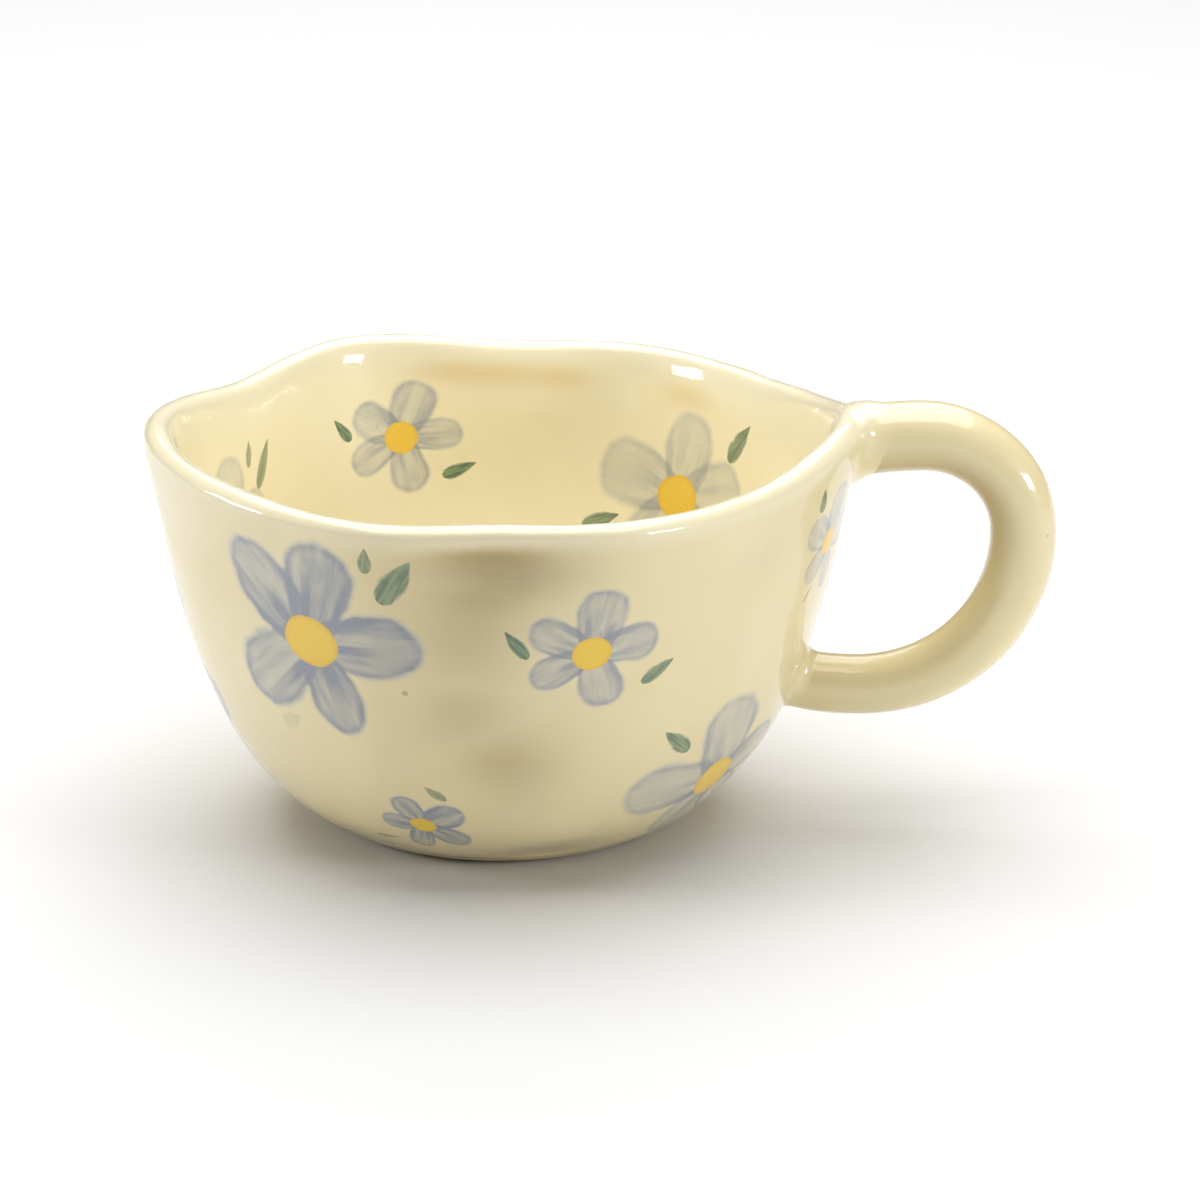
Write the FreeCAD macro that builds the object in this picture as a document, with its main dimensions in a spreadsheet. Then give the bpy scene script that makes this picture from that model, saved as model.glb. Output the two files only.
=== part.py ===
import FreeCAD, Part
import Sketcher

import math
import os

from FreeCAD import Placement, Rotation, Vector

# A pinched stoneware mug: a wide bowl with a wavy lip, a rolled loop handle that is luted on
# with slip at both ends, and a bare foot ring. Millimetres, +Z up. The origin is the middle of
# the foot, on the surface that the mug stands on. The handle points along +X, a few degrees
# towards -Y.

DIMENSIONS = [
    # bowl outline, from the foot to the lip: radius and height of the points it passes through
    ("base_radius", 29.9),
    ("base_height", 1.8),
    ("heel_radius", 38.2),
    ("heel_height", 8.3),
    ("belly_radius", 46.4),
    ("belly_height", 21.0),
    ("waist_radius", 51.9),
    ("waist_height", 39.0),
    ("rim_radius", 56.0),
    ("rim_height", 64.2),
    ("wall_thickness", 4.6),
    ("floor_thickness", 5.0),
    ("floor_radius", 6.0),
    # foot ring: the land it stands on and the recess inside it
    ("foot_recess_radius", 19.0),
    ("foot_inner_radius", 20.2),
    ("foot_land_radius", 24.5),
    ("foot_bulge_radius", 27.8),
    ("foot_bulge_height", 0.7),
    # handle: four arcs that run tangent into each other, from the lip round to the belly
    ("handle_turn", -4.0),
    ("handle_top", 63.3),
    ("handle_reach", 82.8),
    ("shoulder_bend", 15.6),
    ("loop_bend", 26.0),
    ("upper_root_bend", 44.0),
    ("lower_root_bend", 52.0),
    ("upper_root", 54.0),
    ("lower_root", 44.7),
    ("upper_radius", 5.7),
    ("lower_radius", 4.7),
    ("elbow_radius", 5.12),
    ("elbow_angle", 40.0),
    # slip fillets around the handle's ends: how far they flare over the wall and out
    ("upper_side_flare", 5.0),
    ("upper_drop_flare", 2.2),
    ("upper_length", 8.0),
    ("lower_side_flare", 3.0),
    ("lower_drop_flare", 2.4),
    ("lower_length", 6.5),
    ("lower_lean", 22.0),
    ("slip_edge", 0.2),
]

# The lip wanders: angle in degrees, radius and height of its crests and dips, going round.
LIP_STATIONS = [
    (0, 56.5, 67.3),
    (36, 53.5, 63.7),
    (66, 56.2, 63.6),
    (90, 55.2, 63.2),
    (113, 57.2, 64.8),
    (131, 55.2, 64.4),
    (152, 52.9, 63.5),
    (180, 56.0, 66.0),
    (212, 55.4, 64.4),
    (248, 57.4, 63.7),
    (270, 56.2, 64.0),
    (294, 56.5, 63.4),
    (328, 54.8, 64.3),
]

# Finger pinches pressed into the wall: angle, height, depth, half-width in degrees, half-height.
PINCHES = [
    (268, 55.5, 1.7, 15, 5.5),
    (264, 38.0, 0.9, 9, 13.0),
    (284, 19.0, 0.9, 13, 6.5),
    (234, 17.0, 0.6, 14, 7.0),
    (318, 31.0, 0.6, 13, 9.0),
    (36, 54.0, 1.0, 15, 7.0),
    (62, 27.0, 0.9, 14, 9.0),
    (90, 54.5, 1.3, 13, 6.0),
    (118, 25.0, 0.8, 15, 9.0),
    (150, 53.0, 1.1, 15, 7.0),
    (212, 52.0, 0.7, 13, 7.0),
]

SECTION_POINTS = 36
OUTER_SECTIONS = 9
INNER_SECTIONS = 9
FLOOR_SECTIONS = 6
LIP_SECTIONS = 5
PINCH_INSIDE = 0.75  # how much of a pinch shows on the inner face

doc = FreeCAD.newDocument("mug")


def make_sheet():
    """The driving dimensions, one row each, with an alias for every value."""
    table = doc.addObject("Spreadsheet::Sheet", "dims")
    for row, (alias, value) in enumerate(DIMENSIONS, start=1):
        table.set(f"A{row}", alias)
        table.set(f"B{row}", str(value))
        table.setAlias(f"B{row}", alias)
    doc.recompute()
    return table


dims = make_sheet()


def dim(alias):
    return float(getattr(dims, alias))


def bind(obj, **expressions):
    for name, expression in expressions.items():
        obj.setExpression(name, expression)


def plane(body, role):
    """One of a body's own origin planes."""
    return next(f for f in body.Origin.OriginFeatures if f.Role == role)


# ---------------------------------------------------------------- bowl


def closed_spline(points):
    """A smooth closed curve through the points; rings with as many points share their knots."""
    curve = Part.BSplineCurve()
    steps = [float(k) for k in range(len(points) + 1)]
    curve.interpolate(Points=points, PeriodicFlag=True, Parameters=steps)
    return curve


def lip_curve():
    """The lip's crest as one closed curve, and its angles and points for looking up."""
    crest = [
        Vector(r * math.cos(math.radians(a)), r * math.sin(math.radians(a)), z)
        for a, r, z in LIP_STATIONS
    ]
    return closed_spline(crest)


def lip_at_angles(count):
    """(angle, radius, height) of the lip at evenly spaced angles, starting at 0."""
    curve = lip_curve()
    found = []
    for k in range(count):
        angle = 2 * math.pi * k / count
        low, high = curve.FirstParameter, curve.LastParameter
        side = Vector(-math.sin(angle), math.cos(angle), 0)
        ahead = Vector(math.cos(angle), math.sin(angle), 0)
        samples = 720
        best = min(
            (curve.value(low + (high - low) * i / samples) for i in range(samples)),
            key=lambda p: abs(p.dot(side)) if p.dot(ahead) > 0 else 1e9,
        )
        found.append((angle, math.hypot(best.x, best.y), best.z))
    return found


def outline_curve():
    """The outer face of a plain, round bowl, as radius along X and height along Z."""
    lip_radius = dim("wall_thickness") / 2
    names = ("base", "heel", "belly", "waist")
    points = [Vector(dim(f"{n}_radius"), 0, dim(f"{n}_height")) for n in names]
    points.append(Vector(dim("rim_radius"), 0, dim("rim_height") - lip_radius))
    curve = Part.BSplineCurve()
    curve.interpolate(Points=points)
    return curve


def inward(curve, u):
    """The unit normal of the outline that points into the wall."""
    along = curve.tangent(u)[0]
    return Vector(-along.z, 0, along.x)


def wall_profile():
    """Points of the wall from the base up the outer face, over the lip and down the inside.

    Each is (radius, height, share of a pinch, share of the lip's wander).
    """
    outline = outline_curve()
    first, last = outline.FirstParameter, outline.LastParameter
    thick, floor_top = dim("wall_thickness"), dim("base_height") + dim("floor_thickness")
    profile = []
    for i in range(OUTER_SECTIONS):
        p = outline.value(first + (last - first) * i / (OUTER_SECTIONS - 1))
        profile.append((p.x, p.z, 1.0, 1.0))
    top, normal = outline.value(last), inward(outline, last)
    centre = top + normal * (thick / 2)
    upward = Vector(-normal.z, 0, normal.x) * -1
    for i in range(1, LIP_SECTIONS + 1):
        turn = math.pi * i / (LIP_SECTIONS + 1)
        p = centre - normal * (thick / 2 * math.cos(turn)) + upward * (thick / 2 * math.sin(turn))
        profile.append((p.x, p.z, 0.5, 1.0))
    for i in range(INNER_SECTIONS):
        u = last - (last - first) * i / (INNER_SECTIONS - 1)
        share = i / (INNER_SECTIONS - 1)
        depth = thick + (dim("floor_thickness") - thick) * share
        p = outline.value(u) + inward(outline, u) * depth
        profile.append((p.x, max(p.z, floor_top), PINCH_INSIDE, float(p.z > floor_top + 0.5)))
    knee = profile[-1][0]
    for i in range(1, FLOOR_SECTIONS + 1):
        radius = knee + (dim("floor_radius") - knee) * i / FLOOR_SECTIONS
        profile.append((radius, floor_top, 0.0, 0.0))
    return profile


def pinch_depth(angle, height):
    """How far the pinches push the wall in at this place."""
    total = 0.0
    for at, level, depth, wide, tall in PINCHES:
        turn = (math.degrees(angle) - at + 180) % 360 - 180
        total += depth * math.exp(-((turn / wide) ** 2) - ((height - level) / tall) ** 2)
    return total


def make_bowl():
    """The pinched clay wall and floor, lofted through closed rings from the base to the floor."""
    profile = wall_profile()
    crest = max(point[1] for point in profile)
    base, tall = dim("base_height"), crest - dim("base_height")
    lip = lip_at_angles(SECTION_POINTS)
    wires = []
    for radius, height, pinched, wandering in profile:
        up = (height - base) / tall
        ring = []
        for angle, lip_radius, lip_height in lip:
            z = height + wandering * up ** 1.4 * (lip_height - crest)
            r = radius + wandering * up ** 1.4 * (lip_radius - dim("rim_radius"))
            r -= pinched * min(1.0, 3 * up) * pinch_depth(angle, z)
            ring.append(Vector(r * math.cos(angle), r * math.sin(angle), z))
        wires.append(Part.Wire([closed_spline(ring).toShape()]))
    feature = doc.addObject("Part::Feature", "bowl")
    feature.Shape = Part.makeLoft(wires, True, False, False)
    feature.Label = "bowl"
    return feature


bowl = make_bowl()

# ---------------------------------------------------------------- foot ring


def new_sketch(body, name, role, offset=Placement()):
    sketch = body.newObject("Sketcher::SketchObject", name)
    sketch.AttachmentSupport = [(plane(body, role), "")]
    sketch.MapMode = "FlatFace"
    sketch.AttachmentOffset = offset
    return sketch


def hold(sketch, kind, *where, alias=None):
    """Add a constraint; a dimension takes its value from the sheet."""
    if alias is None:
        return sketch.addConstraint(Sketcher.Constraint(kind, *where))
    index = sketch.addConstraint(Sketcher.Constraint(kind, *where, dim(alias)))
    sketch.setExpression(f"Constraints[{index}]", f"dims.{alias}")
    return index


def make_foot_ring():
    """A low trimmed ring: a flat land, a soft outer edge and a shallow recess."""
    body = doc.addObject("PartDesign::Body", "foot_ring")
    sketch = new_sketch(body, "FootSection", "XZ_Plane")
    top = dim("base_height")
    corners = [
        Vector(dim("foot_land_radius"), 0, 0),
        Vector(dim("base_radius"), top, 0),
        Vector(dim("foot_recess_radius"), top, 0),
        Vector(dim("foot_inner_radius"), 0, 0),
    ]
    bulge = Vector(dim("foot_bulge_radius"), dim("foot_bulge_height"), 0)
    edge = sketch.addGeometry(Part.Arc(corners[0], bulge, corners[1]), False)
    lines = [
        sketch.addGeometry(Part.LineSegment(corners[k], corners[(k + 1) % 4]), False)
        for k in (1, 2, 3)
    ]
    seat, recess, land = lines
    low, high = (1, 2) if sketch.getPoint(edge, 1).y < sketch.getPoint(edge, 2).y else (2, 1)
    hold(sketch, "Coincident", edge, high, seat, 1)
    hold(sketch, "Coincident", seat, 2, recess, 1)
    hold(sketch, "Coincident", recess, 2, land, 1)
    hold(sketch, "Coincident", land, 2, edge, low)
    hold(sketch, "Horizontal", seat)
    hold(sketch, "PointOnObject", land, 1, -1)
    hold(sketch, "PointOnObject", land, 2, -1)
    hold(sketch, "DistanceY", -1, 1, seat, 1, alias="base_height")
    hold(sketch, "DistanceX", -1, 1, seat, 1, alias="base_radius")
    hold(sketch, "DistanceX", -1, 1, seat, 2, alias="foot_recess_radius")
    hold(sketch, "DistanceX", -1, 1, land, 1, alias="foot_inner_radius")
    hold(sketch, "DistanceX", -1, 1, land, 2, alias="foot_land_radius")
    doc.recompute()
    turned = body.newObject("PartDesign::Revolution", "FootTurning")
    turned.Profile = sketch
    turned.ReferenceAxis = (sketch, ["V_Axis"])
    turned.Angle = 360
    body.Tip = turned
    doc.recompute()
    return body


foot_ring = make_foot_ring()

# ---------------------------------------------------------------- handle

ABOUT_Z = Vector(0, 0, 1)
TURN = Placement(Vector(), Rotation(ABOUT_Z, dim("handle_turn")))
FACING_X = Rotation(Vector(1, 1, 1), 120)  # puts a shape's own X, Y, Z along Y, Z, X


def root_drop(bend, run):
    """How far an arc of this radius leaves its tangent over this run."""
    return bend - math.sqrt(bend ** 2 - run ** 2)


def upper_line(x):
    """Height of the handle's middle line near the lip."""
    run = dim("handle_reach") - dim("shoulder_bend") - x
    return dim("handle_top") - root_drop(dim("upper_root_bend"), run)


def lower_line(x):
    """Height of the handle's middle line near the belly."""
    low = dim("handle_top") - dim("shoulder_bend") - dim("loop_bend")
    run = dim("handle_reach") - dim("loop_bend") - x
    return low + root_drop(dim("lower_root_bend"), run)


def arc(centre_x, centre_y, radius, start, end):
    circle = Part.Circle(Vector(centre_x, centre_y, 0), ABOUT_Z, radius)
    return Part.ArcOfCircle(circle, start, end)


def make_path(body):
    """The middle line of the roll, as four arcs in the handle's own upright plane."""
    sketch = new_sketch(body, "HandlePath", "XZ_Plane")
    reach, top = dim("handle_reach"), dim("handle_top")
    upper_bend, lower_bend = dim("upper_root_bend"), dim("lower_root_bend")
    shoulder, loop = dim("shoulder_bend"), dim("loop_bend")
    side = top - shoulder
    upper_end = math.acos((dim("upper_root") - reach + shoulder) / upper_bend)
    lower_end = 2 * math.pi - math.acos((dim("lower_root") - reach + loop) / lower_bend)
    arcs = [
        arc(reach - shoulder, top - upper_bend, upper_bend, math.pi / 2, upper_end),
        arc(reach - shoulder, side, shoulder, 0, math.pi / 2),
        arc(reach - loop, side, loop, 1.5 * math.pi, 2 * math.pi),
        arc(reach - loop, side - loop + lower_bend, lower_bend, lower_end, 1.5 * math.pi),
    ]
    lip_end, bow, belly, heel_end = [sketch.addGeometry(a, False) for a in arcs]
    hold(sketch, "Tangent", lip_end, 1, bow, 2)
    hold(sketch, "Tangent", bow, 1, belly, 2)
    hold(sketch, "Tangent", belly, 1, heel_end, 2)
    hold(sketch, "Vertical", bow, 3, bow, 2)
    hold(sketch, "Horizontal", bow, 3, bow, 1)
    hold(sketch, "Vertical", belly, 3, belly, 1)
    hold(sketch, "Radius", lip_end, alias="upper_root_bend")
    hold(sketch, "Radius", bow, alias="shoulder_bend")
    hold(sketch, "Radius", belly, alias="loop_bend")
    hold(sketch, "Radius", heel_end, alias="lower_root_bend")
    hold(sketch, "DistanceX", -1, 1, bow, 1, alias="handle_reach")
    hold(sketch, "DistanceY", -1, 1, bow, 2, alias="handle_top")
    hold(sketch, "DistanceX", -1, 1, lip_end, 2, alias="upper_root")
    hold(sketch, "DistanceX", -1, 1, heel_end, 1, alias="lower_root")
    return sketch


def make_section(body, name, x, z, alias, lean=0.0):
    """A round section of the roll, standing across it and leaning from the upright."""
    across = Placement(Vector(0, z, x), Rotation(Vector(1, 0, 0), lean))
    sketch = new_sketch(body, name, "YZ_Plane", across)
    sketch.addGeometry(Part.Circle(Vector(), ABOUT_Z, dim(alias)), False)
    hold(sketch, "Coincident", 0, 3, -1, 1)
    hold(sketch, "Radius", 0, alias=alias)
    return sketch


def make_roll():
    """A tapered clay roll bent into a loop; both its ends finish inside the bowl's wall."""
    body = doc.addObject("PartDesign::Body", "handle_roll")
    path = make_path(body)
    upper, lower = dim("upper_root"), dim("lower_root")
    start = make_section(body, "UpperSection", upper, upper_line(upper), "upper_radius")
    end = make_section(body, "LowerSection", lower, lower_line(lower), "lower_radius")
    elbow, loop = dim("elbow_angle"), dim("loop_bend")
    elbow_x = dim("handle_reach") - loop * (1 - math.cos(math.radians(elbow)))
    elbow_z = dim("handle_top") - dim("shoulder_bend") - loop * math.sin(math.radians(elbow))
    mid = make_section(body, "ElbowSection", elbow_x, elbow_z, "elbow_radius", elbow - 90)
    doc.recompute()
    roll = body.newObject("PartDesign::AdditivePipe", "HandleRoll")
    roll.Profile = start
    roll.Spine = path
    roll.Sections = [mid, end]
    roll.Transformation = "Multisection"
    body.Tip = roll
    body.Placement = TURN
    doc.recompute()
    return body


def cut(label, base, tool):
    result = doc.addObject("Part::Cut", label)
    result.Base = base
    result.Tool = tool
    result.Label = label
    doc.recompute()
    return result


# ---------------------------------------------------------------- slip fillets

# share of the full flare, and of the length out from the wall, at each section of a fillet
FILLET_STEPS = [(1.0, 0.0), (0.62, 0.22), (0.3, 0.48), (0.1, 0.74), (0.0, 1.0)]


def make_luting(end, line):
    """A collar of slip that spreads from the handle's end over the wall of the bowl."""
    rings = []
    for k, (flare, out) in enumerate(FILLET_STEPS):
        x = dim(f"{end}_root") + 0.4 + out * dim(f"{end}_length")
        drop = flare * dim(f"{end}_drop_flare")
        hoop = doc.addObject("Part::Ellipse", f"{end}_slip_{k}")
        bind(
            hoop,
            MajorRadius=f"dims.{end}_radius + dims.slip_edge + {flare} * dims.{end}_side_flare",
            MinorRadius=f"dims.{end}_radius + dims.slip_edge + {flare / 2} * dims.{end}_drop_flare",
        )
        lean = dim("lower_lean") * flare if end == "lower" else 0.0
        centre = Vector(x, 0, line(x) - drop / 2)
        tilt = Rotation(Vector(0, 1, 0), lean)
        hoop.Placement = TURN * Placement(centre, tilt * FACING_X)
        rings.append(hoop)
    doc.recompute()
    flare_solid = doc.addObject("Part::Loft", f"{end}_slip")
    flare_solid.Sections = rings
    flare_solid.Solid = True
    flare_solid.Ruled = False
    doc.recompute()
    return cut(f"{end}_luting", cut(f"{end}_slip_round_roll", flare_solid, roll), bowl)


roll = make_roll()
handle = cut("handle", roll, bowl)
upper_luting = make_luting("upper", upper_line)
lower_luting = make_luting("lower", lower_line)

# ---------------------------------------------------------------- checks and files

NODES = [bowl, foot_ring, handle, upper_luting, lower_luting]

doc.recompute()
for obj in doc.Objects:
    if {"Invalid", "Error"} & set(obj.State):
        raise RuntimeError(f"{obj.Label} did not recompute: {obj.State}")

os.makedirs("parts", exist_ok=True)
for node in NODES:
    shape = node.Shape
    if shape.isNull() or not shape.isValid() or len(shape.Solids) != 1:
        raise RuntimeError(f"{node.Label} is not one valid solid")
    shape.exportStep(f"parts/{node.Label}.step")
    box = shape.BoundBox
    print(
        f"{node.Label}: {shape.Volume / 1000:.2f} cm3,"
        f" X {box.XMin:.2f}..{box.XMax:.2f}, Y {box.YMin:.2f}..{box.YMax:.2f},"
        f" Z {box.ZMin:.2f}..{box.ZMax:.2f}"
    )
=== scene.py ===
import math

import bmesh
import bpy
import numpy as np
from mathutils import Matrix, Vector, noise
from mathutils.bvhtree import BVHTree


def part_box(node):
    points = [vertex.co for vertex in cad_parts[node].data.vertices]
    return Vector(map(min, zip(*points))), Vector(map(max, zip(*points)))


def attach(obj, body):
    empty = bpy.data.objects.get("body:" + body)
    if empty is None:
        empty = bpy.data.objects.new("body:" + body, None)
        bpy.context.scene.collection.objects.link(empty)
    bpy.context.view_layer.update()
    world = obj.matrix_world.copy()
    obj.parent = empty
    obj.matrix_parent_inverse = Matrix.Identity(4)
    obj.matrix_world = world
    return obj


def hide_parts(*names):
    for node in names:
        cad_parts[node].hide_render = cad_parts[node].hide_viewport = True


# A pinched stoneware cup with cream glaze and brush-painted flowers. The bowl, the handle and
# the slip around its ends are remade as smooth meshes on the skins of their CAD nodes. The
# flowers are painted by the material, from each point's place on the petal, leaf or flower
# centre nearest to it.

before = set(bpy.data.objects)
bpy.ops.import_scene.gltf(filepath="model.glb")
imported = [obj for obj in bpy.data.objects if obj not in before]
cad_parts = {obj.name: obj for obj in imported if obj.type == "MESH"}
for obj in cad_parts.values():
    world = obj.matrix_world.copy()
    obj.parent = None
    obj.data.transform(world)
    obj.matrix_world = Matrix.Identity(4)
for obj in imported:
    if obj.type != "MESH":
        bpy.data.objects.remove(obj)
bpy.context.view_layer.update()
scene = bpy.context.scene

MM = 0.001

# ------------------------------------------------------------------ camera, floor and light

ELEVATION = math.radians(18.34)
TARGET = Vector((15.75, 0, 34.54)) * MM
DISTANCE = 0.75


def make_camera():
    data = bpy.data.cameras.new("camera")
    data.lens = 140.5
    data.sensor_width = 36
    data.clip_start = 0.01
    camera = bpy.data.objects.new("camera", data)
    away = Vector((0, -math.cos(ELEVATION), math.sin(ELEVATION)))
    camera.location = TARGET + away * DISTANCE
    camera.rotation_euler = (math.pi / 2 - ELEVATION, 0, 0)
    scene.collection.objects.link(camera)
    scene.camera = camera


def area_light(name, place, aim, size, watts):
    data = bpy.data.lights.new(name, "AREA")
    data.shape = "RECTANGLE"
    data.size, data.size_y = size
    data.energy = watts
    light = bpy.data.objects.new(name, data)
    light.location = place
    light.rotation_euler = (Vector(aim) - Vector(place)).to_track_quat("-Z", "Y").to_euler()
    scene.collection.objects.link(light)


def mesh_object(name, verts, faces, smooth=True):
    mesh = bpy.data.meshes.new(name)
    mesh.from_pydata([tuple(v) for v in verts], [], faces)
    shape = bmesh.new()
    shape.from_mesh(mesh)
    bmesh.ops.recalc_face_normals(shape, faces=shape.faces)
    shape.to_mesh(mesh)
    shape.free()
    mesh.polygons.foreach_set("use_smooth", [smooth] * len(mesh.polygons))
    obj = bpy.data.objects.new(name, mesh)
    scene.collection.objects.link(obj)
    return obj


def make_studio():
    scene.view_settings.view_transform = "Standard"
    make_camera()
    reach = 12.0
    corners = [(-reach, -reach, 0), (reach, -reach, 0), (reach, reach, 0), (-reach, reach, 0)]
    floor = mesh_object("floor", corners, [(0, 1, 2, 3)], smooth=False)
    material = bpy.data.materials.new("floor")
    material.use_nodes = True
    shader = material.node_tree.nodes["Principled BSDF"]
    shader.inputs["Base Color"].default_value = (0.78, 0.78, 0.78, 1)
    shader.inputs["Roughness"].default_value = 0.9
    shader.inputs["Specular IOR Level"].default_value = 0.1
    floor.data.materials.append(material)
    world = bpy.data.worlds.new("studio")
    world.use_nodes = True
    world.node_tree.nodes["Background"].inputs["Color"].default_value = (1, 1, 1, 1)
    world.node_tree.nodes["Background"].inputs["Strength"].default_value = 0.12
    scene.world = world
    area_light("top_box", (0.0, 0.12, 1.0), (0, 0.05, 0), (1.3, 1.1), 14.3)
    area_light("back_box", (0.0, 1.0, 0.9), (0, 0.75, 0), (1.2, 0.5), 5.0)
    area_light("left_box", (-0.66, 0.02, 0.22), (0, 0, 0.03), (0.24, 0.14), 1.15)
    area_light("right_box", (0.66, -0.32, 0.22), (0.02, 0, 0.03), (0.24, 0.14), 1.5)
    area_light("front_box", (0.1, -0.95, 0.14), (0, 0, 0.02), (1.4, 0.4), 0.65)


make_studio()

# ------------------------------------------------------------------ skins of the CAD nodes


def tree_of(obj):
    """A tree for casting rays at an object's skin."""
    points = [v.co for v in obj.data.vertices]
    return BVHTree.FromPolygons(points, [tuple(p.vertices) for p in obj.data.polygons])


def points_of(obj):
    return np.array([tuple(v.co) for v in obj.data.vertices])


def skin(node):
    return tree_of(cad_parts[node])


def strike(tree, start, towards):
    """Where a ray from start through towards first meets the skin, or None."""
    start, towards = Vector(start), Vector(towards)
    return tree.ray_cast(start, (towards - start).normalized())[0]


def spread(low, high, count, power=1.0):
    """Evenly spaced numbers, crowded towards low when power is above 1."""
    return low + (high - low) * np.linspace(0, 1, count) ** power


def closed_tube(name, grid, first_end, last_end):
    """A mesh through rings of points, with a fan to a middle point over each end."""
    rows, around = grid.shape[:2]
    verts = list(grid.reshape(-1, 3)) + [first_end, last_end]
    last, ends = (rows - 1) * around, rows * around
    faces = []
    for a in range(0, last, around):
        for k in range(around):
            n = (k + 1) % around
            faces.append((a + k, a + n, a + around + n, a + around + k))
    for k in range(around):
        n = (k + 1) % around
        faces.append((ends, n, k))
        faces.append((ends + 1, last + k, last + n))
    return mesh_object(name, verts, faces)


AROUND = 288
ANGLES = np.arange(AROUND) * 2 * math.pi / AROUND
LIP = 2.3 * MM  # radius of the rolled lip
KNEE = 10.0 * MM  # height at which the inner wall starts to turn into the floor
KNEE_REACH = 7.3 * MM  # how far in from there the turn ends
FLOOR_TOP = 6.8 * MM


def wall_column(tree, angle, base):
    """Points down one angle of the bowl: out from under the middle, up, over the lip and in."""
    ahead = Vector((math.cos(angle), math.sin(angle), 0))
    up = Vector((0, 0, 1))

    def at(radius, height):
        return ahead * radius + up * height

    tops = [(strike(tree, at(r, 0.1), at(r, 0.0)), r) for r in spread(0.050, 0.0585, 35)]
    crest, crest_r = max((p.z, r) for p, r in tops if p)
    near = [(p.z, r) for p, r in tops if p and p.z > crest - 0.15 * MM]
    crest_r = sum(r for _, r in near) / len(near)
    heart = at(crest_r, crest - LIP)
    column = [at(r, base) for r in (0.003, 0.010, 0.019, 0.0255)]
    for z in spread(base + 0.02 * MM, crest - 1.5 * LIP, 68, 1.15):
        column.append(strike(tree, at(0.09, z), at(0, z)))
    for turn in np.radians(spread(-14, 194, 17)):
        aim = ahead * math.cos(turn) + up * math.sin(turn)
        column.append(strike(tree, heart + aim * 0.02, heart))
    for z in spread(crest - 1.5 * LIP, KNEE, 54):
        column.append(strike(tree, at(0, z), at(0.09, z)))
    wall_r = math.hypot(column[-1].x, column[-1].y)
    for r in spread(0.003, wall_r - 0.8 * MM, 28)[::-1]:
        share = max((r - wall_r) / KNEE_REACH + 1, 0)
        column.append(at(r, FLOOR_TOP + (KNEE - FLOOR_TOP) * share ** 2.2))
    return column


def smoothed(grid, rounds=2):
    """The grid with the facets of the CAD mesh evened out; axis 1 closes on itself."""
    for _ in range(rounds):
        grid = (np.roll(grid, 1, 1) + 2 * grid + np.roll(grid, -1, 1)) / 4
        inner = (grid[:-2] + 2 * grid[1:-1] + grid[2:]) / 4
        bend = np.linalg.norm(grid[2:] + grid[:-2] - 2 * grid[1:-1], axis=2, keepdims=True)
        grid[1:-1] = np.where(bend < 0.12 * MM, inner, grid[1:-1])
    return grid


def grid_normals(grid):
    along = np.gradient(grid, axis=0)
    around = (np.roll(grid, -1, 1) - np.roll(grid, 1, 1)) / 2
    n = np.cross(around, along)
    return n / np.maximum(np.linalg.norm(n, axis=2, keepdims=True), 1e-12)


def hand_relief(points, size, depth, seed):
    """Slow swells that pressing fingers leave, as a height at each point."""
    flat = points.reshape(-1, 3)
    shift = Vector((seed * 3.1, seed * 1.7, seed * 2.3))
    values = [noise.noise(Vector(p) / size + shift) for p in flat]
    return np.array(values).reshape(points.shape[:-1]) * depth


# Where fingers pressed the outside: angle, height, depth, and reach in degrees and millimetres.
# A negative depth is a swell.
PRESSES = [
    (269, 57.0, 2.1, 12, 5.0), (270, 18.5, 1.5, 10, 8.0), (258, 37.0, 0.5, 8, 9.0),
    (247, 20.0, -0.5, 8, 8.0), (291, 33.0, -0.5, 9, 10.0), (225, 50.0, 0.5, 9, 9.0),
    (322, 47.0, 0.6, 10, 9.0), (303, 56.0, 0.5, 9, 5.0), (345, 30.0, 0.5, 9, 9.0),
    (36, 52.0, 0.9, 12, 7.0), (62, 24.0, 0.8, 11, 8.0), (92, 51.0, 1.2, 11, 7.0),
    (118, 21.0, 0.8, 12, 8.0), (152, 50.0, 1.0, 12, 7.0), (190, 24.0, 0.7, 11, 9.0),
]


def soft_spot(angles, heights, middle, reach):
    """1 at a spot on the wall, fading over its reach round and up from there."""
    turn = (angles - middle[0] + 180) % 360 - 180
    return np.exp(-((turn / reach[0]) ** 2) - ((heights - middle[1]) / reach[1]) ** 2)


def press_relief(grid):
    """How far the presses push the outside in at each point."""
    total = np.zeros(grid.shape[:2])
    angles = np.degrees(np.arctan2(grid[..., 1], grid[..., 0]))
    heights = grid[..., 2] / MM
    for angle, height, depth, wide, tall in PRESSES:
        total += depth * MM * soft_spot(angles, heights, (angle, height), (wide, tall))
    outside = np.arange(len(grid))[:, None] < grid[..., 2].argmax(0)[None, :]
    below_lip = np.clip((grid[..., 2].max(0)[None, :] - grid[..., 2]) / (4.5 * MM) - 0.4, 0, 1)
    return total * outside * below_lip


def make_bowl():
    """The bowl's skin as a smooth grid with a hand-made surface, and that grid."""
    tree = skin("bowl")
    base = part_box("bowl")[0].z
    columns = [wall_column(tree, a, base) for a in ANGLES]
    grid = np.array([[list(p) for p in c] for c in columns]).transpose(1, 0, 2)
    grid[5:] = smoothed(grid[5:])
    relief = hand_relief(grid, 17 * MM, 0.28 * MM, 1) + hand_relief(grid, 7 * MM, 0.05 * MM, 2)
    rise = np.clip((grid[..., 2] - base - 1 * MM) / (6 * MM), 0, 1)
    relief -= press_relief(grid)
    grid += grid_normals(grid) * (relief * rise)[..., None]
    return closed_tube("bowl_glazed", grid, grid[0].mean(0), grid[-1].mean(0)), grid


# ------------------------------------------------------------------ handle and slip

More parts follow.
